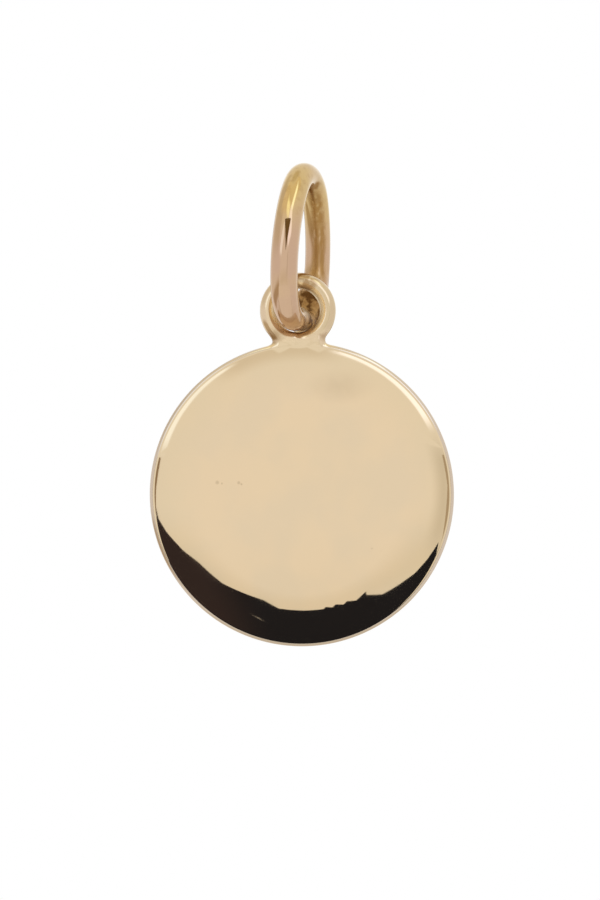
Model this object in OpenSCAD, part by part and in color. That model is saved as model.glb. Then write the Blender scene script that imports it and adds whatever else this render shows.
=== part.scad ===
// Round medal pendant: a plain polished gold disc with a wire eye soldered to its edge, hanging
// from an oval bail ring that runs through the eye. Millimetres, +Z up, the front faces -Y.
// The origin is the chain seat: the inside of the bail's upper bow, where a chain runs.

/* [Disc] */
// Diameter of the disc
disc_d = 16; // [14:0.5:20]
// Thickness of the disc at its middle
disc_t = 1.2; // [1.1:0.05:1.6]
// Flat middle of each face, as a share of the disc's diameter
flat_share = 0.65; // [0.5:0.01:0.75]
// Thickness of the disc at its rim
rim_t = 0.69; // [0.6:0.01:0.85]
// Radius of the rim's rounded corners
rim_r = 0.22; // [0.15:0.01:0.28]
// Swell of the corners past the shoulder that runs out to them, which leaves a fine line round the face
rim_swell = 0.006; // [0.004:0.001:0.012]

/* [Eye] */
// Outer diameter of the eye
eye_d = 4; // [3.9:0.05:4.4]
// Diameter of the eye's wire
eye_wire = 0.85; // [0.7:0.01:0.9]
// Depth that the eye is let into the disc's edge
eye_sink = 0.32; // [0.25:0.01:0.4]

/* [Solder] */
// Radius of the hollow solder fillet between the eye and the rim
fillet_r = 0.3; // [0.2:0.01:0.4]
// Thickness of the solder from front to back
solder_t = 0.44; // [0.3:0.01:0.46]
// Depth that the solder bites into the eye and the rim
solder_bite = 0.03; // [0.02:0.01:0.05]

/* [Bail] */
// Diameter of the bail's wire
bail_wire = 1.32; // [1.1:0.01:1.36]
// Radius of the wire's middle line in the upper bow
bow_r = 2.18; // [2:0.01:2.3]
// Step between the bows' middles: a longer step gives a taller bail with sharper lower corners
bow_step = 0.045; // [0.036:0.001:0.054]
// Turn of the bail about the vertical, away from edge-on to the front
bail_turn = 16.9; // [0:0.1:20]
// Lean of the bail's top towards +X
bail_lean = 4.9; // [0:0.1:6]
// Height of the eye's middle above the bail wire's middle, where the bail runs through the eye
eye_lift = 0.4; // [0:0.01:0.4]

/* [Hidden] */
$fn = 96;

gold = [0.86, 0.69, 0.43];
disc_r = disc_d / 2;
flat_r = disc_r * flat_share;

// Shoulder: an arc that touches the flat and a circle inside the rim's corner, smaller by the swell
rim_x = disc_r - rim_r;
rim_y = rim_t / 2 - rim_r;
touch_r = rim_r - rim_swell;
shoulder_w = rim_x - flat_r;
shoulder_t = disc_t / 2 - rim_y;
shoulder_r = (pow(shoulder_w, 2) + pow(shoulder_t, 2) - pow(touch_r, 2)) / (2 * (shoulder_t - touch_r));
shoulder_y = disc_t / 2 - shoulder_r;
shoulder_end = rim_x + shoulder_w * touch_r / (shoulder_r - touch_r);

// Eye: the middle line of its wire, and its middle above the disc's
eye_line_r = (eye_d - eye_wire) / 2;
eye_z = disc_r - eye_sink + eye_d / 2;

// Fillet: its middle lies a fillet radius, less the bite, out from both the eye and the rim
to_eye = eye_d / 2 + fillet_r - solder_bite;
to_disc = disc_r + fillet_r - solder_bite;
fillet_z = (to_disc * to_disc - to_eye * to_eye + eye_z * eye_z) / (2 * eye_z);
fillet_x = sqrt(to_disc * to_disc - fillet_z * fillet_z);
// Share of the way from the disc's middle to the fillet's at which the solder ends inside the disc
root = (disc_r - 3 * fillet_r) / to_disc;

// Bail: an oval of six bows. Triangles of 3-4-5 and 7-24-25 steps carry the middle of each bow to that
// of the next, so that the bows touch where they meet. The upper bow's middle is the oval's
side_middle = [68, -51] * bow_step;
side_r = bow_r + 85 * bow_step;
corner_middle = [28, -79] * bow_step;
corner_r = side_r - 100 * bow_step;
foot_middle = [0, 17] * bow_step;
foot_r = corner_r + 100 * bow_step;
foot_drop = foot_r - foot_middle.y;

// Corners, from a bow's middle, of the wedges that part the bows: all 15 long, well past the wire
high = [12, 9];
low = [14.4, -4.2];
steep = [4.2, -14.4];

// Places: the bail hangs from the chain seat along its lean, and the eye sits round its foot
bail_axis = [sin(bail_lean), 0, cos(bail_lean)];
bail_middle = -(bow_r - bail_wire / 2) * bail_axis;
bail_foot = bail_middle - foot_drop * bail_axis;
disc_middle = bail_foot + [0, 0, eye_lift - eye_z];

// Half of the disc's section, on the side of one face: the flat and the shoulder's arc
module half_section() {
    translate([0, -disc_t]) square([flat_r, disc_t * 1.5]);
    intersection() {
        translate([flat_r, shoulder_y]) circle(r = shoulder_r, $fn = 720);
        translate([0, -disc_t]) square([shoulder_end, disc_t * 1.5]);
    }
}

// Section of the disc, with its rounded rim
module disc_section() {
    intersection() {
        half_section();
        mirror([0, 1]) half_section();
    }
    for (side = [-1, 1]) translate([rim_x, side * rim_y]) circle(r = rim_r);
    translate([rim_x - rim_r, -rim_y]) square([2 * rim_r, 2 * rim_y]);
}

// The disc, standing upright round its own middle
module disc() {
    rotate([90, 0, 0]) rotate_extrude($fn = 180) disc_section();
}

// The eye: a closed ring of round wire in the disc's plane
module eye() {
    translate([0, 0, eye_z]) rotate([90, 0, 0])
        rotate_extrude() translate([eye_line_r, 0]) circle(d = eye_wire, $fn = 48);
}

// The solder: two hollow fillets, left and right, between the eye and the rim
module solder() {
    rotate([90, 0, 0]) linear_extrude(height = solder_t, center = true) difference() {
        polygon([
            [0, eye_z],
            [fillet_x, fillet_z],
            [fillet_x * root, fillet_z * root],
            [-fillet_x * root, fillet_z * root],
            [-fillet_x, fillet_z]
        ]);
        translate([0, eye_z]) circle(r = eye_line_r);
        for (side = [-1, 1]) translate([side * fillet_x, fillet_z]) circle(r = fillet_r);
    }
}

// One bow of the bail's wire: what a wedge from the bow's middle keeps of a whole ring
module bow(middle, radius, from, to) {
    translate(middle) intersection() {
        rotate_extrude() translate([radius, 0]) circle(d = bail_wire, $fn = 48);
        linear_extrude(height = 2 * bail_wire, center = true) polygon([[0, 0], from, to]);
    }
}

// A point on the other side of the oval
function across(point) = [-point.x, point.y];

// The bail lying flat: the upper bow, then a side and a lower corner on each side, then the flatter foot
module oval_ring() {
    bow([0, 0], bow_r, high, across(high));
    bow(across(side_middle), side_r, high, low);
    bow(side_middle, side_r, across(high), across(low));
    bow(corner_middle, corner_r, low, steep);
    bow(across(corner_middle), corner_r, across(low), across(steep));
    bow(foot_middle, foot_r, steep, across(steep));
}

// The disc, the eye and the solder are one piece of metal
module medal() {
    color(gold) translate(disc_middle) {
        disc();
        eye();
        solder();
    }
}

// The bail stands in its own plane, turned nearly edge-on to the front
module bail() {
    color(gold) translate(bail_middle)
        rotate([0, bail_lean, 0]) rotate([0, 0, -bail_turn]) rotate([90, 0, 90]) oval_ring();
}

medal();
bail();
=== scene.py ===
"""Round gold medal pendant: the finish of its disc, eye, solder and bail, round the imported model.

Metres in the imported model's own frame: +Z up, the front faces -Y, and the origin is the chain seat inside
the bail's upper bow. Sizes of the pieces are given in millimetres, and those of the medal from its middle.
"""
import math

import bmesh
import bpy
import numpy as np
from mathutils import Matrix, Vector


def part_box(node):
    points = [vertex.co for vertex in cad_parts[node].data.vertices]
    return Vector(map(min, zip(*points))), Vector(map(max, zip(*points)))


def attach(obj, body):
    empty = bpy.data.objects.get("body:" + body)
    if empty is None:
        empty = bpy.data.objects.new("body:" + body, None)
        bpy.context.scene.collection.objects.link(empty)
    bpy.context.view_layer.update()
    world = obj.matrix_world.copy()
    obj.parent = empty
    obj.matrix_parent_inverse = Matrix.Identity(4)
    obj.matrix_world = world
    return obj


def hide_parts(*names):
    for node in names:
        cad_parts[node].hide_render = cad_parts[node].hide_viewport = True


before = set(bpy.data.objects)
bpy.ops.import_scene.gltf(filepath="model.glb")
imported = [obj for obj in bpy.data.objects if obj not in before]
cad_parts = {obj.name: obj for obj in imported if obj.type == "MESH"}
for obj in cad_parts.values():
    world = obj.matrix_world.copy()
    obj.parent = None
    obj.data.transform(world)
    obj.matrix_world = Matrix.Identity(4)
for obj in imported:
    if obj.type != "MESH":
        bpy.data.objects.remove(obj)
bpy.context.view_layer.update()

MM = 0.001
FULL_TURN = 2 * math.pi

# Sizes in millimetres and angles, as in the part's source
FLAT_SHARE = 0.65
RIM_T = 0.69
RIM_R = 0.22
RIM_SWELL = 0.006
EYE_R = 2.0
EYE_WIRE = 0.85
BAIL_WIRE = 1.32
BOW_R = 2.18
BOW_STEP = 0.045
BAIL_TURN = math.radians(16.9)
BAIL_LEAN = math.radians(4.9)

# Bail's mesh: rows along its wire, points round it, and the rows over which two of its bows ease together
BAIL_ROWS = 320
BAIL_AROUND = 64
BAIL_EASE = 4
# Points of each bow, in the line that the rows are spaced along
BOW_POINTS = 60

# Bends left in the bail: place round it in degrees from its rear, reach in degrees, push outwards
BAIL_BENDS = ((-109, 13, 0.19), (-128, 12, 0.04), (-71, 14, 0.22), (128, 24, 0.05), (60, 25, 0.04))
# The bail's foot: place, reach
FOOT = (-90, 34)
# How much fuller the bail's wire is away from its foot, where the pliers haven't drawn it
LIMB_SWELL = 0.04
# Metal gathered on the inside of the bail, at its closed seam and in its front bend: place, reach, depth
SEAM = ((-43, 15, 0.46), (-24, 9, 0.10), (-131, 9, 0.16))
# How much thicker the wire is all round at that seam: place, reach, depth
SEAM_SWELL = (-46, 12, 0.13)
# Lumps round that seam: place, reach, height
SEAM_LUMPS = (-54, 28, 0.035)
# Brown round the seam, partly skin that the torch left and partly painted shade of the far limb's lower end:
# place, reach
SEAM_SKIN_AND_SHADE = (-68, 31)
# Where the eye has rubbed the inside of the front bend: place, reach
RUBBED_BEND = (-122, 26)

# Disc's mesh: points across its flat, its shoulder and its corner, on one face
FLAT_POINTS = 13
SHOULDER_POINTS = 40
CORNER_POINTS = 14
# Rows of the disc within a turn of its top, in radians, where they lie close together, and rows elsewhere
TOP_TURN = 0.3
TOP_ROWS = 80
OTHER_ROWS = 298

# Eye's mesh: rows along its wire and points round it
EYE_ROWS = 208
EYE_AROUND = 52

# Camera: its place from the medal's middle in millimetres, its roll, its lens and the width of its sensor
CAMERA_AT = (-0.048, -65, 2.327)
CAMERA_ROLL = math.radians(1.22)
CAMERA_LENS = 49.34
CAMERA_SENSOR = 36


def node_box(node):
    """A node's lowest and highest corners in millimetres"""
    low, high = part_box(node)
    return np.array(low) / MM, np.array(high) / MM


medal_low, medal_high = node_box("medal")
DISC_R = (medal_high[0] - medal_low[0]) / 2
DISC_T = medal_high[1] - medal_low[1]
DISC_MIDDLE = np.array([(medal_low[0] + medal_high[0]) / 2, 0, medal_low[2] + DISC_R])
EYE_Z = medal_high[2] - EYE_R - DISC_MIDDLE[2]
EYE_LINE_R = EYE_R - EYE_WIRE / 2

# The disc's section: a flat, an arc for the shoulder and a round corner that swells past the arc
FLAT_R = DISC_R * FLAT_SHARE
RIM_X = DISC_R - RIM_R
RIM_Y = RIM_T / 2 - RIM_R
TOUCH_R = RIM_R - RIM_SWELL
SHOULDER_W = RIM_X - FLAT_R
SHOULDER_T = DISC_T / 2 - RIM_Y
SHOULDER_R = (SHOULDER_W ** 2 + SHOULDER_T ** 2 - TOUCH_R ** 2) / (2 * (SHOULDER_T - TOUCH_R))
SHOULDER_Y = DISC_T / 2 - SHOULDER_R


def mesh_piece(name, points, faces):
    """A piece from points in millimetres, with smooth faces"""
    mesh = bpy.data.meshes.new(name)
    mesh.from_pydata((np.asarray(points) * MM).tolist(), [], faces)
    mesh.polygons.foreach_set("use_smooth", [True] * len(mesh.polygons))
    piece = bpy.data.objects.new(name, mesh)
    bpy.context.scene.collection.objects.link(piece)
    return piece


def mark(piece, name, values):
    """A value at each of a piece's points, which its finish reads by name"""
    attribute = piece.data.attributes.new(name, "FLOAT", "POINT")
    attribute.data.foreach_set("value", values.reshape(-1).astype(np.float32))


def ring_faces(rows, columns):
    """Faces of a closed ring: a grid that joins up along its rows and round its columns"""
    faces = []
    for row in range(rows):
        ahead = (row + 1) % rows
        for column in range(columns):
            across = (column + 1) % columns
            faces.append((
                row * columns + column,
                row * columns + across,
                ahead * columns + across,
                ahead * columns + column,
            ))
    return faces


def circle(count):
    """Angles at even steps round a circle"""
    return np.arange(count) * FULL_TURN / count


def wire_ring(line, side, wire_r, around):
    """Points of round wire along a closed line that lies in a plane, whose direction across is side"""
    ahead = np.roll(line, -1, axis=0) - np.roll(line, 1, axis=0)
    ahead /= np.linalg.norm(ahead, axis=1)[:, None]
    outward = np.cross(side, ahead)
    angles = circle(around)
    out = np.cos(angles)[None, :, None] * outward[:, None, :] + np.sin(angles)[None, :, None] * side
    radius = np.broadcast_to(wire_r, (len(line), around))
    return (line[:, None, :] + out * radius[:, :, None]).reshape(-1, 3)


def even_line(line, count):
    """A closed line again, with its points at even steps"""
    closed = np.concatenate([line, line[:1]])
    steps = np.linalg.norm(np.diff(closed, axis=0), axis=1)
    run = np.concatenate([[0], np.cumsum(steps)])
    places = np.arange(count) * run[-1] / count
    return np.stack([np.interp(places, run, closed[:, axis]) for axis in range(3)], axis=1)


def eased(line, reach):
    """A closed line of even steps whose bends run into each other over a reach, in points"""
    offsets = np.arange(-3 * reach, 3 * reach + 1)
    weights = np.exp(-0.5 * (offsets / reach) ** 2)
    weights /= weights.sum()
    return sum(weight * np.roll(line, offset, axis=0) for weight, offset in zip(weights, offsets))


def bail_line():
    """The middle line of the bail's wire, in its own plane, from the upper bow's middle"""
    corner_r = BOW_R - 15 * BOW_STEP
    side_r = BOW_R + 85 * BOW_STEP
    foot_r = corner_r + 100 * BOW_STEP
    low_turn = math.atan2(7, 24)
    steep_turn = math.atan2(24, 7)
    high_turn = math.pi / 2 + math.atan2(3, 4)
    bows = (
        (0, low_turn, (0, 17), foot_r),
        (low_turn, steep_turn, (-28, -79), corner_r),
        (steep_turn, high_turn, (68, -51), side_r),
        (high_turn, math.pi, (0, 0), BOW_R),
    )
    half = []
    for start, end, middle, radius in bows:
        for turn in np.linspace(start, end, BOW_POINTS, endpoint=False):
            across = middle[0] * BOW_STEP - radius * math.sin(turn)
            up = middle[1] * BOW_STEP - radius * math.cos(turn)
            half.append((0, across, up))
    half = np.array(half)
    other = (half * [1, -1, 1])[:0:-1]
    return even_line(np.concatenate([half, other]), BAIL_ROWS)


def place_round(line):
    """Angle of each point of the bail's line from its rear, and its direction out from the middle"""
    arm = line - (line.max(axis=0) + line.min(axis=0)) / 2
    return np.arctan2(arm[:, 2], arm[:, 1]), arm / np.linalg.norm(arm, axis=1)[:, None]


def hump(angle, place, reach):
    """A smooth hump round a place of a circle, from 0 to 1, with its place and reach in degrees"""
    away = (angle - math.radians(place) + math.pi) % FULL_TURN - math.pi
    return np.exp(-(away / math.radians(reach)) ** 2)


def hand_bent(line):
    """The bail's line as the maker's pliers left it"""
    angle, out = place_round(line)
    push = sum(depth * hump(angle, place, reach) for place, reach, depth in BAIL_BENDS)
    return line + push[:, None] * out


def bail_path():
    """The bail's line with its bows eased together, at the same height and width, and then bent by hand"""
    line = bail_line()
    soft = eased(line, BAIL_EASE)
    soft[:, 1:] *= np.ptp(line[:, 1:], axis=0) / np.ptp(soft[:, 1:], axis=0)
    soft[:, 2] += line[:, 2].max() - soft[:, 2].max()
    return hand_bent(soft)


def bail_radius(line, angle, round_wire):
    """Radius of the bail's wire, along it and round it: fuller in its limbs, lumpy at its seam"""
    swell = LIMB_SWELL * (1 - hump(angle, *FOOT))
    *seam_place, seam_depth = SEAM_SWELL
    radius = (BAIL_WIRE / 2 * (1 + swell) + seam_depth * hump(angle, *seam_place))[:, None]
    inside = np.clip(-np.cos(round_wire), 0, 1) ** 1.5
    for place, reach, depth in SEAM:
        radius = radius + depth * hump(angle, place, reach)[:, None] * inside

    # Waves along the wire and round it cross each other in the lumps, which fade out on the loop's outside
    run = np.cumsum(np.linalg.norm(np.diff(line, axis=0, prepend=line[-1:]), axis=1))[:, None]
    waves = np.sin(5.1 * run + 2.3 * np.sin(3 * round_wire)) * np.cos(3.7 * run - 4 * round_wire)
    facing_in = np.clip(0.55 - 0.8 * np.cos(round_wire), 0, 1)
    *lumps_place, height = SEAM_LUMPS
    return radius + height * hump(angle, *lumps_place)[:, None] * facing_in * waves


def bail():
    """The bail ring, turned and leaning as it hangs from the chain seat"""
    line = bail_path()
    angle, _ = place_round(line)
    round_wire = circle(BAIL_AROUND)
    radius = bail_radius(line, angle, round_wire)
    points = wire_ring(line, np.array([1.0, 0, 0]), radius, BAIL_AROUND)
    turn = Matrix.Rotation(BAIL_LEAN, 3, "Y") @ Matrix.Rotation(-BAIL_TURN, 3, "Z")
    axis = np.array([math.sin(BAIL_LEAN), 0, math.cos(BAIL_LEAN)])
    middle = -(BOW_R - BAIL_WIRE / 2) * axis
    ring = mesh_piece("bail_ring", points @ np.array(turn).T + middle, ring_faces(BAIL_ROWS, BAIL_AROUND))

    inner_side = -np.cos(round_wire + math.radians(20))
    mark(ring, "inner_side", np.broadcast_to(inner_side, (BAIL_ROWS, BAIL_AROUND)))
    skin_and_shade = np.clip(1.6 * hump(angle, *SEAM_SKIN_AND_SHADE), 0, 1)[:, None]
    # The seam's brown is partly torch skin and partly painted shade of the far limb's lower end
    mark(ring, "seam", skin_and_shade * np.clip(0.75 - 0.5 * np.cos(round_wire) + 0.4 * np.sin(round_wire), 0, 1))
    mark(ring, "rubbed", hump(angle, *RUBBED_BEND)[:, None] * np.clip(-1.5 * np.cos(round_wire), 0, 1))
    return ring


def half_section():
    """The disc's section on its front, from the middle to the rim: distances out, and heights"""
    flat = np.linspace(0, FLAT_R, FLAT_POINTS + 1)[1:]
    shoulder = np.linspace(FLAT_R, RIM_X, SHOULDER_POINTS + 1)[1:]
    heights = SHOULDER_Y + np.sqrt(SHOULDER_R ** 2 - (shoulder - FLAT_R) ** 2)
    bend = np.linspace(0, math.pi / 2, CORNER_POINTS + 1)[1:]
    out = np.concatenate([flat, shoulder, RIM_X + RIM_R * np.sin(bend)])
    up = np.concatenate([np.full(FLAT_POINTS, DISC_T / 2), heights, RIM_Y + RIM_R * np.cos(bend)])
    return out, up


def disc_rows():
    """Turns of the disc's rows, close together under the eye"""
    near = np.linspace(-TOP_TURN, TOP_TURN, TOP_ROWS)
    far = np.linspace(TOP_TURN, FULL_TURN - TOP_TURN, OTHER_ROWS + 2)[1:-1]
    return np.concatenate([near, far])


def disc():
    """The disc: its section turned round the front-to-back line through its middle"""
    out, up = half_section()
    out = np.concatenate([out, out[::-1]])
    up = np.concatenate([up, -up[::-1]])
    turn = disc_rows()
    count = len(turn)
    width = len(out)
    rows = np.stack([
        np.sin(turn)[:, None] * out,
        np.broadcast_to(-up, (count, width)),
        np.cos(turn)[:, None] * out,
    ], axis=2)
    points = np.concatenate([rows.reshape(-1, 3), [[0, -DISC_T / 2, 0], [0, DISC_T / 2, 0]]])
    front = count * width
    back = front + 1
    faces = []
    for row in range(count):
        here = row * width
        ahead = (row + 1) % count * width
        faces.append((front, here, ahead))
        faces.append((back, ahead + width - 1, here + width - 1))
        for column in range(width - 1):
            faces.append((here + column, here + column + 1, ahead + column + 1, ahead + column))
    return mesh_piece("disc", points, faces)


def eye():
    """The eye: a ring of round wire in the disc's plane"""
    turn = circle(EYE_ROWS)
    line = EYE_LINE_R * np.stack([np.sin(turn), 0 * turn, np.cos(turn)], axis=1)
    points = wire_ring(line, np.array([0, 1.0, 0]), EYE_WIRE / 2, EYE_AROUND)
    return mesh_piece("eye", points + [0, 0, EYE_Z], ring_faces(EYE_ROWS, EYE_AROUND))


# Neck, where the eye is soldered to the rim: its middle, and how far from it the mesh is reworked
NECK_MIDDLE = np.array([0, 0, DISC_R - 0.05])
NECK_REACH = 2.4
# Reach of the solder's hollow in front of and behind the eye's foot, and at its sides
HOLLOW_REACH = (0.15, 0.6)
# Distances across between which the hollow widens from the one to the other
HOLLOW_SIDES = (0.45, 1.05)
# Distance over which it closes again towards the end of the neck's reach, and the share that stays of it
HOLLOW_FADE = 0.8
HOLLOW_LEFT = 0.02

# Lumps of solder in the neck: middle, radius. Reach of the hollow where they meet the rest
LUMPS = (
    ((-0.76, -0.12, 8.28), 0.16),
    ((-0.33, -0.20, 8.27), 0.12),
    ((0.13, -0.20, 8.10), 0.14),
    ((1.00, -0.08, 8.05), 0.26),
    ((-0.95, 0.08, 8.1), 0.2),
    ((0.8, 0.12, 8.15), 0.18),
)
LUMP_REACH = 0.28
# Pits in the solder: middle, radius. Reach of their rounded rims
PITS = (
    ((-0.10, -0.54, 7.98), 0.09),
    ((0.4, 0.54, 8.0), 0.09),
)
PIT_REACH = 0.16

# Points of the medal's mesh that lie closer than this are made one
WELD = 0.012
# Edges longer than this are halved, within a reach of the neck's middle
LONGEST_EDGE = 0.085
FINE_REACH = 1.5
# Distance over which the reworked mesh eases into the rest
EASE_REACH = 0.9
# Rounds of smoothing, and a point's share in each of the way to its neighbours' middle
SMOOTH_ROUNDS = 12
SMOOTH_SHARE = 0.6
# Rounds in which a point then settles on the surface
SETTLE_ROUNDS = 2


def section_distance(out, depth):
    """Signed distance from the disc's section, at distances out and depths"""
    corner = np.hypot(out - RIM_X, np.maximum(np.abs(depth) - RIM_Y, 0)) - RIM_R
    dome = np.hypot(np.maximum(out - FLAT_R, 0), np.abs(depth) - SHOULDER_Y) - SHOULDER_R
    return np.where(out > RIM_X, corner, np.maximum(dome, out - DISC_R))


def joined(one, other, reach):
    """Signed distance from two forms together, with a hollow of a reach where they meet"""
    share = np.maximum(reach - np.abs(one - other), 0) / reach
    return np.minimum(one, other) - share ** 2 * reach / 4


def neck_distance(points):
    """Signed distance from the disc, the eye and the solder between them"""
    x, y, z = points.T
    disc_side = section_distance(np.hypot(x, z), y)
    eye_side = np.hypot(np.hypot(x, z - EYE_Z) - EYE_LINE_R, y) - EYE_WIRE / 2
    far = np.linalg.norm(points - NECK_MIDDLE, axis=1)
    reach = np.interp(np.abs(x), HOLLOW_SIDES, HOLLOW_REACH)
    reach = reach * np.clip((NECK_REACH - far) / HOLLOW_FADE, HOLLOW_LEFT, 1)
    metal = joined(disc_side, eye_side, reach)
    for middle, radius in LUMPS:
        metal = joined(metal, np.linalg.norm(points - middle, axis=1) - radius, LUMP_REACH)
    for middle, radius in PITS:
        metal = -joined(-metal, np.linalg.norm(points - middle, axis=1) - radius, PIT_REACH)
    return metal


def settle(points):
    """Points moved onto the surface of the neck"""
    step = 1e-4
    for _ in range(SETTLE_ROUNDS):
        value = neck_distance(points)
        slope = np.stack([
            neck_distance(points + step * axis) - neck_distance(points - step * axis) for axis in np.eye(3)
        ], axis=1) / (2 * step)
        length = np.maximum(np.sum(slope ** 2, axis=1), 0.25)
        points = points - 0.9 * (value / length)[:, None] * slope
    return points


def fine_neck(work):
    """The neck's faces in triangles, its long edges halved, and points that nearly meet made one"""
    neck = Vector(NECK_MIDDLE)
    bmesh.ops.triangulate(work, faces=[
        face for face in work.faces if (face.calc_center_median() - neck).length < NECK_REACH
    ])
    bmesh.ops.remove_doubles(work, verts=work.verts, dist=WELD)
    for _ in range(2):
        long_edges = []
        for edge in work.edges:
            middle = (edge.verts[0].co + edge.verts[1].co) / 2
            if edge.calc_length() > LONGEST_EDGE and (middle - neck).length < FINE_REACH:
                long_edges.append(edge)
        bmesh.ops.subdivide_edges(work, edges=long_edges, cuts=1, use_grid_fill=False)
        bmesh.ops.triangulate(work, faces=[face for face in work.faces if len(face.verts) > 4])


def solder(piece):
    """The neck's mesh evened out and drawn onto the surface of the solder"""
    work = bmesh.new()
    work.from_mesh(piece.data)
    bmesh.ops.scale(work, vec=(1 / MM,) * 3, verts=work.verts)
    fine_neck(work)
    work.verts.ensure_lookup_table()
    places = np.array([vert.co for vert in work.verts])
    far = np.linalg.norm(places - NECK_MIDDLE, axis=1)
    near = np.flatnonzero(far < NECK_REACH)
    ease = np.clip((NECK_REACH - far[near]) / EASE_REACH, 0, 1)[:, None]
    around = []
    for index in near:
        vert = work.verts[index]
        around.append([edge.other_vert(vert).index for edge in vert.link_edges])
    for _ in range(SMOOTH_ROUNDS):
        middles = np.array([places[ring].mean(axis=0) for ring in around])
        moved = settle(places[near] + SMOOTH_SHARE * ease * (middles - places[near]))
        places[near] += (moved - places[near]) * (ease > 0)
    for index in near:
        work.verts[index].co = places[index]
    bmesh.ops.recalc_face_normals(work, faces=work.faces)
    bmesh.ops.scale(work, vec=(MM,) * 3, verts=work.verts)
    work.to_mesh(piece.data)
    work.free()


def medal():
    """The medal's one piece of metal: disc and eye joined, with the solder between them"""
    body = disc()
    ring = eye()
    for piece in (body, ring):
        piece.data.transform(Matrix.Scale(1 / MM, 4))
    union = body.modifiers.new("eye", "BOOLEAN")
    union.operation = "UNION"
    union.solver = "EXACT"
    union.object = ring
    bpy.context.view_layer.update()
    shape = bpy.data.meshes.new_from_object(body.evaluated_get(bpy.context.evaluated_depsgraph_get()))
    body.modifiers.clear()
    body.data = shape
    bpy.data.objects.remove(ring)
    shape.transform(Matrix.Scale(MM, 4))
    solder(body)
    shape.transform(Matrix.Translation(Vector(DISC_MIDDLE) * MM))
    shape.polygons.foreach_set("use_smooth", [True] * len(shape.polygons))
    body.name = "medal_body"
    return body


class Signal:
    """An output of a node, on which sums are written as on a number"""

    def __init__(self, nodes, socket):
        self.nodes = nodes
        self.socket = socket

    def __add__(self, other):
        return self.nodes.reckon("ADD", self, other)

    def __radd__(self, other):
        return self.nodes.reckon("ADD", other, self)

    def __sub__(self, other):
        return self.nodes.reckon("SUBTRACT", self, other)

    def __rsub__(self, other):
        return self.nodes.reckon("SUBTRACT", other, self)

    def __mul__(self, other):
        return self.nodes.reckon("MULTIPLY", self, other)

    def __rmul__(self, other):
        return self.nodes.reckon("MULTIPLY", other, self)


class Nodes:
    """The nodes of one finish, or of the studio's light"""

    def __init__(self, owner):
        owner.use_nodes = True
        self.tree = owner.node_tree

    def add(self, kind, settings, values, output=0):
        """A node of a type: its settings first, then the values or links of its sockets"""
        node = self.tree.nodes.new("ShaderNode" + kind)
        for name, setting in settings.items():
            setattr(node, name, setting)
        for name, value in values.items():
            self.feed(node.inputs[name], value)
        return Signal(self, node.outputs[output])

    def feed(self, socket, value):
        """A value or a link for a socket"""
        if isinstance(value, Signal):
            self.tree.links.new(value.socket, socket)
        elif isinstance(value, tuple) and socket.type == "RGBA":
            socket.default_value = (*value, 1)
        else:
            socket.default_value = value

    def reckon(self, operation, *values):
        """A number worked out from one or two others"""
        return self.add("Math", {"operation": operation}, dict(enumerate(values)))

    def blend(self, first, second, share):
        """Two colours mixed by a share of the second"""
        mix = {"data_type": "RGBA"}
        return self.add("Mix", mix, {0: share, 6: first, 7: second}, 2)

    def rise(self, value, start, end):
        """A smooth rise from 0 to 1 as a value goes from start to end"""
        return self.add("MapRange", {"interpolation_type": "SMOOTHSTEP"}, {0: value, 1: start, 2: end})

    def noise(self, place, scale, detail=2.0):
        """Cloudy noise round 0.5, with its scale in clouds per millimetre"""
        return self.add("TexNoise", {}, {"Vector": place, "Scale": scale, "Detail": detail}, "Fac")

    def scaled(self, place, factors):
        """A place drawn out or in by a factor along each axis"""
        return self.add("VectorMath", {"operation": "MULTIPLY"}, {0: place, 1: factors})

    def stretched(self, place, turn, stretch):
        """A place turned round the front-to-back line, and stretched along its x"""
        about = {"rotation_type": "Y_AXIS"}
        turned = self.add("VectorRotate", about, {"Vector": place, "Angle": math.radians(turn)})
        return self.scaled(turned, (1 / stretch, 1, 1))

    def part(self, place, axis):
        """One coordinate of a place"""
        return self.add("SeparateXYZ", {}, {0: place}, axis)

    def away(self, place, point):
        """Distance of a place from a point"""
        return self.add("VectorMath", {"operation": "DISTANCE"}, {0: place, 1: point}, "Value")

    def spot(self, place, point, full, end):
        """A soft round spot: 1 up to a distance from a point, and 0 past another"""
        return 1 - self.rise(self.away(place, point), full, end)

    def marked(self, name):
        """A value that was marked on the piece's points"""
        return self.add("Attribute", {"attribute_name": name}, {}, "Fac")


def millimetres(nodes, middle):
    """The place on a piece in millimetres from a middle"""
    metres = nodes.add("TexCoord", {}, {}, "Object")
    grown = nodes.add("VectorMath", {"operation": "SCALE"}, {"Vector": metres, "Scale": 1 / MM})
    start = tuple(float(step) for step in middle)
    return nodes.add("VectorMath", {"operation": "SUBTRACT"}, {0: grown, 1: start})


def finish(name):
    """A polished metal finish, its nodes and its shader"""
    material = bpy.data.materials.new(name)
    nodes = Nodes(material)
    shader = nodes.tree.nodes["Principled BSDF"]
    shader.inputs["Metallic"].default_value = 1
    return material, nodes, shader


# Colours of the medal: its face, the face's clouds, its border, and painted shade on its edge
FACE_GOLD = (0.786, 0.612, 0.402)
CLOUDY_GOLD = (0.752, 0.598, 0.404)
BORDER_GOLD = (0.735, 0.592, 0.385)
EDGE_PAINTED_SHADE = (0.64, 0.54, 0.43)
# Colours of the eye and the neck: painted shade on the eye's outer front, a painted highlight on its inner
# wall, solder, a painted reflection on top of the eye and painted shade in the creases beside its foot
EYE_PAINTED_SHADE = (0.58, 0.455, 0.27)
EYE_PAINTED_HIGHLIGHT = (0.94, 0.82, 0.58)
NECK_SOLDER = (0.70, 0.55, 0.36)
EYE_PAINTED_REFLECTION = (0.40, 0.25, 0.12)
CREASE_PAINTED_SHADE = (0.36, 0.22, 0.10)
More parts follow.
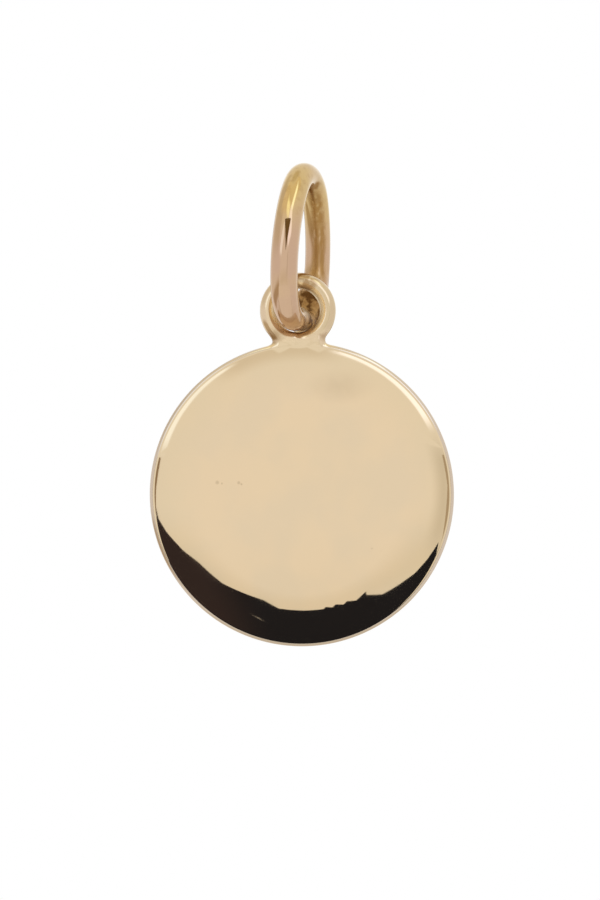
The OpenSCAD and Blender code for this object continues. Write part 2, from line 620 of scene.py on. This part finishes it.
# Colours of a painted dark reflection in the face and of its small nicks
FACE_PAINTED_REFLECTION = (0.62, 0.48, 0.31)
NICK_GOLD = (0.50, 0.38, 0.24)

# Fine straight polishing marks in the face: turn in degrees, marks per millimetre. Their length to width
HAIRLINES = ((12, 9.0), (-38, 7.0), (71, 8.0))
HAIRLINE_STRETCH = 26
# Small nicks in the face: across, up, size
NICKS = ((-4.4, 0.72, 0.14), (-4.16, 0.66, 0.07), (-3.28, 0.68, 0.12), (-3.14, 0.60, 0.08), (3.6, -2.9, 0.05))
# A painted dark reflection in the face, twice as wide as high: its middle at half its distance across
FACE_REFLECTION_SPOT = (1.05, -0.58, 5.6)
# A speck in the lower shoulder
SPECK = (-1.93, -0.5, -5.97)
# A scratch beside it: its slope in degrees, its length to width, and its middle in its own directions
SCRATCH_TURN = -30
SCRATCH_STRETCH = 1 / 0.13
SCRATCH = (0.145, -0.5, -6.76)
# A painted reflection of the bail on top of the eye, and painted shade in the creases left and right of its
# foot
EYE_PATCH = (0.42, -0.3, 11.15)
LEFT_CREASE = (-1.25, 0, 8.35)
RIGHT_CREASE = (1.2, 0, 8.3)
# Height of one unit of the medal's fine relief, in millimetres
MEDAL_RELIEF = 0.0010


def hairlines(nodes, place):
    """Fine straight polishing marks in three directions, from 0 to 1"""
    marks = 0
    for turn, scale in HAIRLINES:
        line = nodes.noise(nodes.stretched(place, turn, HAIRLINE_STRETCH), scale, 3.0)
        marks = marks + nodes.rise(line, 0.64, 0.74)
    return marks


def medal_gold():
    """Pale polished gold: waves and hairlines of polishing, solder in the neck with painted shade beside it,
    painted highlight, shade and reflection on the eye, small nicks and a painted dark reflection in the face
    """
    material, nodes, shader = finish("medal_gold")
    place = millimetres(nodes, DISC_MIDDLE)
    flat = nodes.scaled(place, (1, 0, 1))
    out = nodes.add("VectorMath", {"operation": "LENGTH"}, {0: flat}, "Value")
    across = nodes.part(place, "X")
    height = nodes.part(place, "Z")
    clouds = nodes.noise(place, 0.33)
    dabs = nodes.noise(place, 1.4, 3.0)
    marks = hairlines(nodes, place)

    # Regions: the face's border, the rim's edge, the neck, and the eye's wire with its inner and outer sides
    border = nodes.rise(out, 5.2, 7.9) * (1 - nodes.rise(out, 7.95, 8.3))
    edge = nodes.rise(out, 7.78, 7.84) * (1 - nodes.rise(height, 7.6, 7.8))
    neck = nodes.rise(height, 7.9, 8.15) * (1 - nodes.rise(height, 8.3, 8.9))
    wire = nodes.rise(height, 8.3, 8.8)
    from_eye = nodes.away(flat, (0, 0, EYE_Z))
    # Masks of a painted highlight on the eye's inner wall, and of painted shade on its outer front, darker
    # towards the right
    inner_wall = wire * (1 - nodes.rise(from_eye, 1.28, 1.5))
    eye_shade = wire * nodes.rise(from_eye, 1.4, 1.55) * (0.3 + 0.7 * nodes.rise(across, -1.2, 0.3))

    # Small marks
    speck = nodes.spot(place, SPECK, 0.02, 0.07)
    scratch = nodes.spot(nodes.stretched(place, SCRATCH_TURN, SCRATCH_STRETCH), SCRATCH, 0, 0.10)
    creases = nodes.spot(place, LEFT_CREASE, 0.2, 0.7) + nodes.spot(place, RIGHT_CREASE, 0.15, 0.55)
    face_reflection = nodes.spot(nodes.scaled(place, (0.5, 1, 1)), FACE_REFLECTION_SPOT, 0, 1.1)
    patch = nodes.spot(place, EYE_PATCH, 0.35, 0.9) * nodes.rise(nodes.noise(place, 2.6, 3.0), 0.36, 0.56)
    nicks = 0
    for x, z, size in NICKS:
        nicks = nicks + nodes.spot(place, (x, -DISC_T / 2, z), 0.3 * size, size)

    color = nodes.blend(FACE_GOLD, CLOUDY_GOLD, nodes.rise(clouds, 0.35, 0.65))
    color = nodes.blend(color, BORDER_GOLD, 0.6 * border)
    # Painted shade on the eye's outer front, then a painted highlight on its inner wall
    color = nodes.blend(color, EYE_PAINTED_SHADE, 0.55 * eye_shade)
    color = nodes.blend(color, EYE_PAINTED_HIGHLIGHT, inner_wall)
    # Painted dark reflection in the face at its upper right
    color = nodes.blend(color, FACE_PAINTED_REFLECTION, 0.5 * face_reflection * (0.5 + dabs))
    # Painted shade: the rim's edge is greyer and darker, standing in for its dimmer reflection
    color = nodes.blend(color, EDGE_PAINTED_SHADE, 0.85 * edge)
    color = nodes.blend(color, NICK_GOLD, 0.5 * nicks)
    # Painted reflection of the bail, mottled, on top of the eye
    color = nodes.blend(color, EYE_PAINTED_REFLECTION, 0.85 * patch)
    color = nodes.blend(color, NECK_SOLDER, neck * nodes.rise(dabs, 0.4, 0.62))
    # Painted shade, mottled, in the creases left and right of the eye's foot
    color = nodes.blend(color, CREASE_PAINTED_SHADE, creases * nodes.rise(dabs, 0.25, 0.6))
    nodes.feed(shader.inputs["Base Color"], color)

    rough = 0.03 + 0.02 * nodes.rise(clouds, 0.4, 0.7) + 0.03 * marks + 0.09 * edge
    rough = rough + 0.19 * neck + 0.08 * wire + 0.28 * inner_wall + 0.4 * speck + 0.24 * scratch
    nodes.feed(shader.inputs["Roughness"], rough)

    relief = 0.9 * nodes.noise(place, 0.8, 1.0) + 0.05 * dabs - 0.012 * marks - 3.0 * nicks
    relief = relief + 1.5 * neck * nodes.noise(place, 2.4, 1.0)
    bump = nodes.add("Bump", {}, {"Height": relief, "Distance": MEDAL_RELIEF * MM, "Strength": 1.0})
    nodes.feed(shader.inputs["Normal"], bump)
    return material


# Colours of the bail: its limbs, its upper bow, and clouds in both
LIMB_GOLD = (0.60, 0.41, 0.27)
BOW_GOLD = (0.64, 0.46, 0.21)
BAIL_CLOUDS = (0.63, 0.44, 0.25)
# Colours of its duller marks: the inside of the loop, dabs and a darker patch in the bow, and the seam
INSIDE_BROWN = (0.37, 0.20, 0.06)
BOW_DABS = (0.52, 0.35, 0.16)
BOW_DARKER_GOLD = (0.50, 0.33, 0.14)
SEAM_BROWN = (0.48, 0.285, 0.11)
SEAM_DARK = (0.15, 0.068, 0.019)
# Colour of the bend that the eye has rubbed
RUBBED_GOLD = (0.88, 0.72, 0.46)
# A darker patch in the upper bow
BOW_PATCH = (0.42, -0.3, 0.1)
# Height of one unit of the bail's fine relief, in millimetres
BAIL_RELIEF = 0.0025


def bail_gold():
    """Rosier gold, yellower in the upper bow, browner in a band along the inside of the loop"""
    material, nodes, shader = finish("bail_gold")
    place = millimetres(nodes, (0, 0, 0))
    height = nodes.part(place, "Z")
    inner = nodes.marked("inner_side")
    seam = nodes.marked("seam")
    clouds = nodes.noise(place, 0.6)
    dabs = nodes.noise(place, 2.6, 3.0)
    drawn = nodes.noise(nodes.scaled(place, (1, 1, 0.08)), 5.0, 2.0)

    # Regions: the upper bow, and the rougher band along the inside of the limbs, deepest at the rear
    bow = nodes.rise(height, -3.2, -0.4)
    rear = nodes.rise(nodes.part(place, "Y"), -0.6, 0.9)
    band = nodes.rise(inner + 0.12 * clouds, 0.78, 1.03) * (0.25 + 0.75 * rear)
    band = band * nodes.rise(height, -5.1, -3.9) * (1 - nodes.rise(height, -0.2, 1.0))
    dark_patch = nodes.spot(place, BOW_PATCH, 0.5, 1.5)

    color = nodes.blend(LIMB_GOLD, BOW_GOLD, bow)
    color = nodes.blend(color, BAIL_CLOUDS, 0.6 * nodes.rise(clouds, 0.4, 0.65))
    color = nodes.blend(color, INSIDE_BROWN, 0.92 * band * nodes.rise(drawn, 0.2, 0.5))
    color = nodes.blend(color, BOW_DABS, 0.6 * bow * nodes.rise(dabs, 0.48, 0.68))
    color = nodes.blend(color, BOW_DARKER_GOLD, 0.75 * dark_patch * nodes.rise(dabs, 0.2, 0.5))
    # Brown and darker mottling round the seam: partly torch skin, partly painted shade of the far limb's
    # lower end
    color = nodes.blend(color, SEAM_BROWN, seam)
    color = nodes.blend(color, SEAM_DARK, 0.95 * seam * nodes.rise(dabs, 0.38, 0.56))
    color = nodes.blend(color, RUBBED_GOLD, nodes.marked("rubbed"))
    nodes.feed(shader.inputs["Base Color"], color)
    nodes.feed(shader.inputs["Metallic"], 1 - 0.8 * seam)
    shader.inputs["Specular IOR Level"].default_value = 0

    rough = 0.07 + 0.05 * nodes.rise(drawn, 0.4, 0.7) + 0.26 * band + 0.2 * seam
    nodes.feed(shader.inputs["Roughness"], rough)

    relief = 0.7 * nodes.noise(place, 0.9, 1.0) + 0.12 * drawn + 6.0 * seam * dabs + 2.0 * band * dabs
    bump = nodes.add("Bump", {}, {"Height": relief, "Distance": BAIL_RELIEF * MM, "Strength": 1.0})
    nodes.feed(shader.inputs["Normal"], bump)
    return material


def camera():
    """The camera level with the disc's upper half, as in the photograph"""
    data = bpy.data.cameras.new("camera")
    data.lens = CAMERA_LENS
    data.sensor_width = CAMERA_SENSOR
    data.clip_start = 1 * MM
    view = bpy.data.objects.new("camera", data)
    bpy.context.scene.collection.objects.link(view)
    view.location = Vector(DISC_MIDDLE + CAMERA_AT) * MM
    level = Matrix.Rotation(math.pi / 2, 3, "X")
    view.rotation_euler = (Matrix.Rotation(CAMERA_ROLL, 3, "Y") @ level).to_euler()
    bpy.context.scene.camera = view


def glow(name, color):
    """A plain finish that gives off an even light, for the tent and the cards"""
    material, nodes, shader = finish(name)
    shader.inputs["Metallic"].default_value = 0
    shader.inputs["Roughness"].default_value = 1
    shader.inputs["Specular IOR Level"].default_value = 0
    shader.inputs["Base Color"].default_value = (0, 0, 0, 1)
    shader.inputs["Emission Color"].default_value = (*color, 1)
    shader.inputs["Emission Strength"].default_value = 1
    return material, nodes, shader


# Section of the tent in millimetres, out and up: the paper's bend, then the radius and level of its dome
TENT_BEND = ((0, -150), (300, -150), (380, -140), (450, -110), (500, -60), (530, 20), (540, 150))
DOME_R = 540
DOME_LEVEL = 150
DOME_ROWS = 14
TENT_AROUND = 48


def tent():
    """White paper far under the pendant that curves up into a white tent, seen by the camera alone"""
    profile = list(TENT_BEND)
    for lift in np.linspace(0.1, math.pi / 2, DOME_ROWS):
        profile.append((DOME_R * math.cos(lift), DOME_LEVEL + DOME_R * math.sin(lift)))
    points = []
    for out, up in profile:
        for turn in circle(TENT_AROUND):
            points.append((out * math.cos(turn), out * math.sin(turn), up))
    bands = ring_faces(len(profile), TENT_AROUND)[: (len(profile) - 1) * TENT_AROUND]
    paper = mesh_piece("tent", points, bands)
    paper.data.materials.append(glow("white_paper", (1, 1, 1))[0])
    paper.visible_glossy = False
    paper.visible_diffuse = False
    paper.visible_shadow = False


# Colours of the cards: the dark one is a little browner at its left
WHITE_CARD = (1, 0.996, 0.985)
DARK_CARD = (0.017, 0.0175, 0.024)
DARK_CARD_LEFT = (0.040, 0.030, 0.034)
BROWN_CARD_LEFT = (0.34, 0.25, 0.17)
BROWN_CARD_RIGHT = (0.52, 0.44, 0.35)
OLIVE_CARD = (0.21, 0.145, 0.06)
# Places across a card between which its left colour gives way to the other
CARD_FADE = (-11, -3)
# How far in front of the medal's middle the upright cards stand
DARK_DEPTH = 18
BROWN_DEPTH = 6
WEDGE_DEPTH = 4.3


def card(name, points, left, right):
    """A flat card in front of the medal that only the polished metal sees: corners, colours at its sides"""
    flat = mesh_piece(name, np.array(points) + DISC_MIDDLE, [tuple(range(len(points)))])
    material, nodes, shader = glow(name, right)
    across = nodes.part(millimetres(nodes, DISC_MIDDLE), "X")
    nodes.feed(shader.inputs["Emission Color"], nodes.blend(left, right, nodes.rise(across, *CARD_FADE)))
    flat.data.materials.append(material)
    flat.visible_camera = False
    flat.visible_diffuse = False
    flat.visible_shadow = False


def upright(depth, corners):
    """Corners of a card that stands upright at a depth in front of the medal"""
    return [(x, -depth, z) for x, z in corners]


def cards():
    """Dark cards that draw the crescent and thin side lines in the disc and the wedge in the bail, and a
    white one that keeps the dark card out of the bail"""
    shelf = ((-3.5, -1.6, 4.2), (3.5, -1.6, 4.2), (17, -17.9, 4.4), (-17, -17.9, 4.4))
    card("white_shelf", shelf, WHITE_CARD, WHITE_CARD)
    crescent = (
        (-17.2, -1.7), (-16.8, -3.2), (-15.2, -4.6), (-12.4, -6.1), (-9.9, -6.9), (-7.3, -8.5), (-4.1, -9.1),
        (-3.3, -9.3), (-2.2, -10.5), (-0.1, -10.7), (1.7, -10.7), (1.85, -10.3), (2.5, -10.6), (2.7, -10.1),
        (3.5, -10.45), (3.7, -9.95), (4.7, -10.3), (5.4, -9.2), (5.7, -9.9), (6.6, -10.3), (7.8, -10.8),
        (9.8, -10.3), (12.1, -9.6), (14, -8.3), (15.8, -6.6), (15.9, -9.5), (13.5, -14), (9, -18), (3, -21),
        (-3, -21), (-9, -17), (-14, -12.5), (-17.4, -7),
    )
    card("dark_card", upright(DARK_DEPTH, crescent), DARK_CARD_LEFT, DARK_CARD)
    left_line = (
        (-10.23, 2.68), (-10.64, 0.4), (-10.74, -1.6), (-10.62, -3.0), (-11.1, -3.1), (-11.4, 0),
        (-10.95, 2.8),
    )
    card("brown_card_left", upright(BROWN_DEPTH, left_line), BROWN_CARD_LEFT, BROWN_CARD_LEFT)
    right_line = (
        (10.30, 2.42), (10.66, 0.2), (10.28, -3.6), (9.66, -5.9), (10.0, -6.1), (10.9, -3.7), (11.5, 0.2),
        (11.0, 2.6),
    )
    card("brown_card_right", upright(BROWN_DEPTH, right_line), BROWN_CARD_RIGHT, BROWN_CARD_RIGHT)
    wedge = (
        (-0.99, 14.75), (0.32, 14.63), (0.03, 13.86), (-0.31, 12.84), (-0.47, 12.41), (-0.53, 13.05),
        (-0.68, 13.75),
    )
    card("wedge_card", upright(WEDGE_DEPTH, wedge), OLIVE_CARD, OLIVE_CARD)


def within(nodes, value, limits, soft):
    """How far a value lies between two limits, from 0 to 1"""
    low, high = limits
    return nodes.rise(value, low - soft, low + soft) * (1 - nodes.rise(value, high - soft, high + soft))


# Zones of the tent's light as the metal sees it: degrees to the side and up, softness, colour
ZONES = (
    ((-200, 200), (-95, -42), 14, (0.80, 0.76, 0.70)),
    ((-125, -34), (-40, 24), 14, (0.94, 0.92, 0.95)),
    ((34, 125), (-40, 24), 14, (0.95, 0.93, 0.95)),
    ((-200, 200), (76, 95), 7, (0.82, 0.76, 0.60)),
    ((-135, -55), (16, 60), 10, (0.79, 0.75, 0.69)),
    ((-90, 80), (42, 74), 7, (1.0, 0.92, 0.72)),
    ((-32, 32), (-18, -8), 5, (0.91, 0.89, 0.84)),
    ((145, 215), (-12, 34), 12, (1.15, 1.18, 1.22)),
    ((-215, -145), (-12, 34), 12, (1.15, 1.18, 1.22)),
    ((-120, -44), (-32, -10), 5, (0.60, 0.50, 0.38)),
    ((-180, -156), (-12, 16), 5, (0.35, 0.24, 0.13)),
    ((138, 160), (-34, -4), 5, (0.55, 0.42, 0.26)),
    ((162, 202), (-24, -5), 4, (0.95, 0.76, 0.42)),
    ((-202, -162), (-24, -5), 4, (0.95, 0.76, 0.42)),
)

# Lamps in front, in degrees: sides clockwise from the top, reach off the front, softness of both, colour
LAMPS = (
    ((76, 116), (23, 30), (8, 4), (0.80, 0.78, 0.74)),
    ((-34, 14), (22, 30), (8, 4), (0.87, 0.83, 0.77)),
    ((-74, -30), (26.0, 44), (5, 0.5), (1.3, 1.42, 1.6)),
    ((16, 66), (25.7, 48), (5, 0.5), (1.5, 1.6, 1.9)),
)

# Lamps that slant across the upper tent: slope, level ahead and sides in degrees, colour
SLANTS = (
    (0.37, (37, 50), (-28, 8), (1.5, 1.6, 1.25)),
    (-0.48, (21, 35), (14, 60), (1.75, 2.0, 2.0)),
)
# Softness of their levels and sides
SLANT_SOFT = (4, 6)


def studio_light():
    """Light from all round as from a white tent, with brighter and dimmer zones for the polished metal"""
    space = bpy.data.worlds.new("studio")
    bpy.context.scene.world = space
    nodes = Nodes(space)
    direction = nodes.add("TexCoord", {}, {}, "Generated")
    x, y, z = (nodes.part(direction, axis) for axis in "XYZ")
    turn = nodes.reckon("ARCTAN2", x, 0 - y) * math.degrees(1)
    height = nodes.reckon("ARCSINE", z) * math.degrees(1)
    color = nodes.blend((1, 1, 1), (1, 0.995, 0.98), nodes.rise(height, -20, 20))
    for sides, levels, soft, tint in ZONES:
        inside = within(nodes, turn, sides, soft) * within(nodes, height, levels, soft)
        color = nodes.blend(color, tint, inside)
    level_soft, side_soft = SLANT_SOFT
    for slope, levels, sides, tint in SLANTS:
        slanted = within(nodes, height + slope * turn, levels, level_soft)
        color = nodes.blend(color, tint, slanted * within(nodes, turn, sides, side_soft))
    clock = nodes.reckon("ARCTAN2", x, z) * math.degrees(1)
    off_front = nodes.reckon("ARCCOSINE", 0 - y) * math.degrees(1)
    for sides, reach, (side_soft, reach_soft), tint in LAMPS:
        inside = within(nodes, clock, sides, side_soft) * within(nodes, off_front, reach, reach_soft)
        color = nodes.blend(color, tint, inside)
    nodes.feed(nodes.tree.nodes["Background"].inputs["Color"], color)


bail_ring = bail()
medal_body = medal()
for piece, material in ((bail_ring, bail_gold()), (medal_body, medal_gold())):
    piece.data.materials.clear()
    piece.data.materials.append(material)
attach(bail_ring, "bail")
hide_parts("bail")
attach(medal_body, "medal")
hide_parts("medal")
camera()
tent()
cards()
studio_light()
bpy.context.scene.view_settings.view_transform = "Standard"
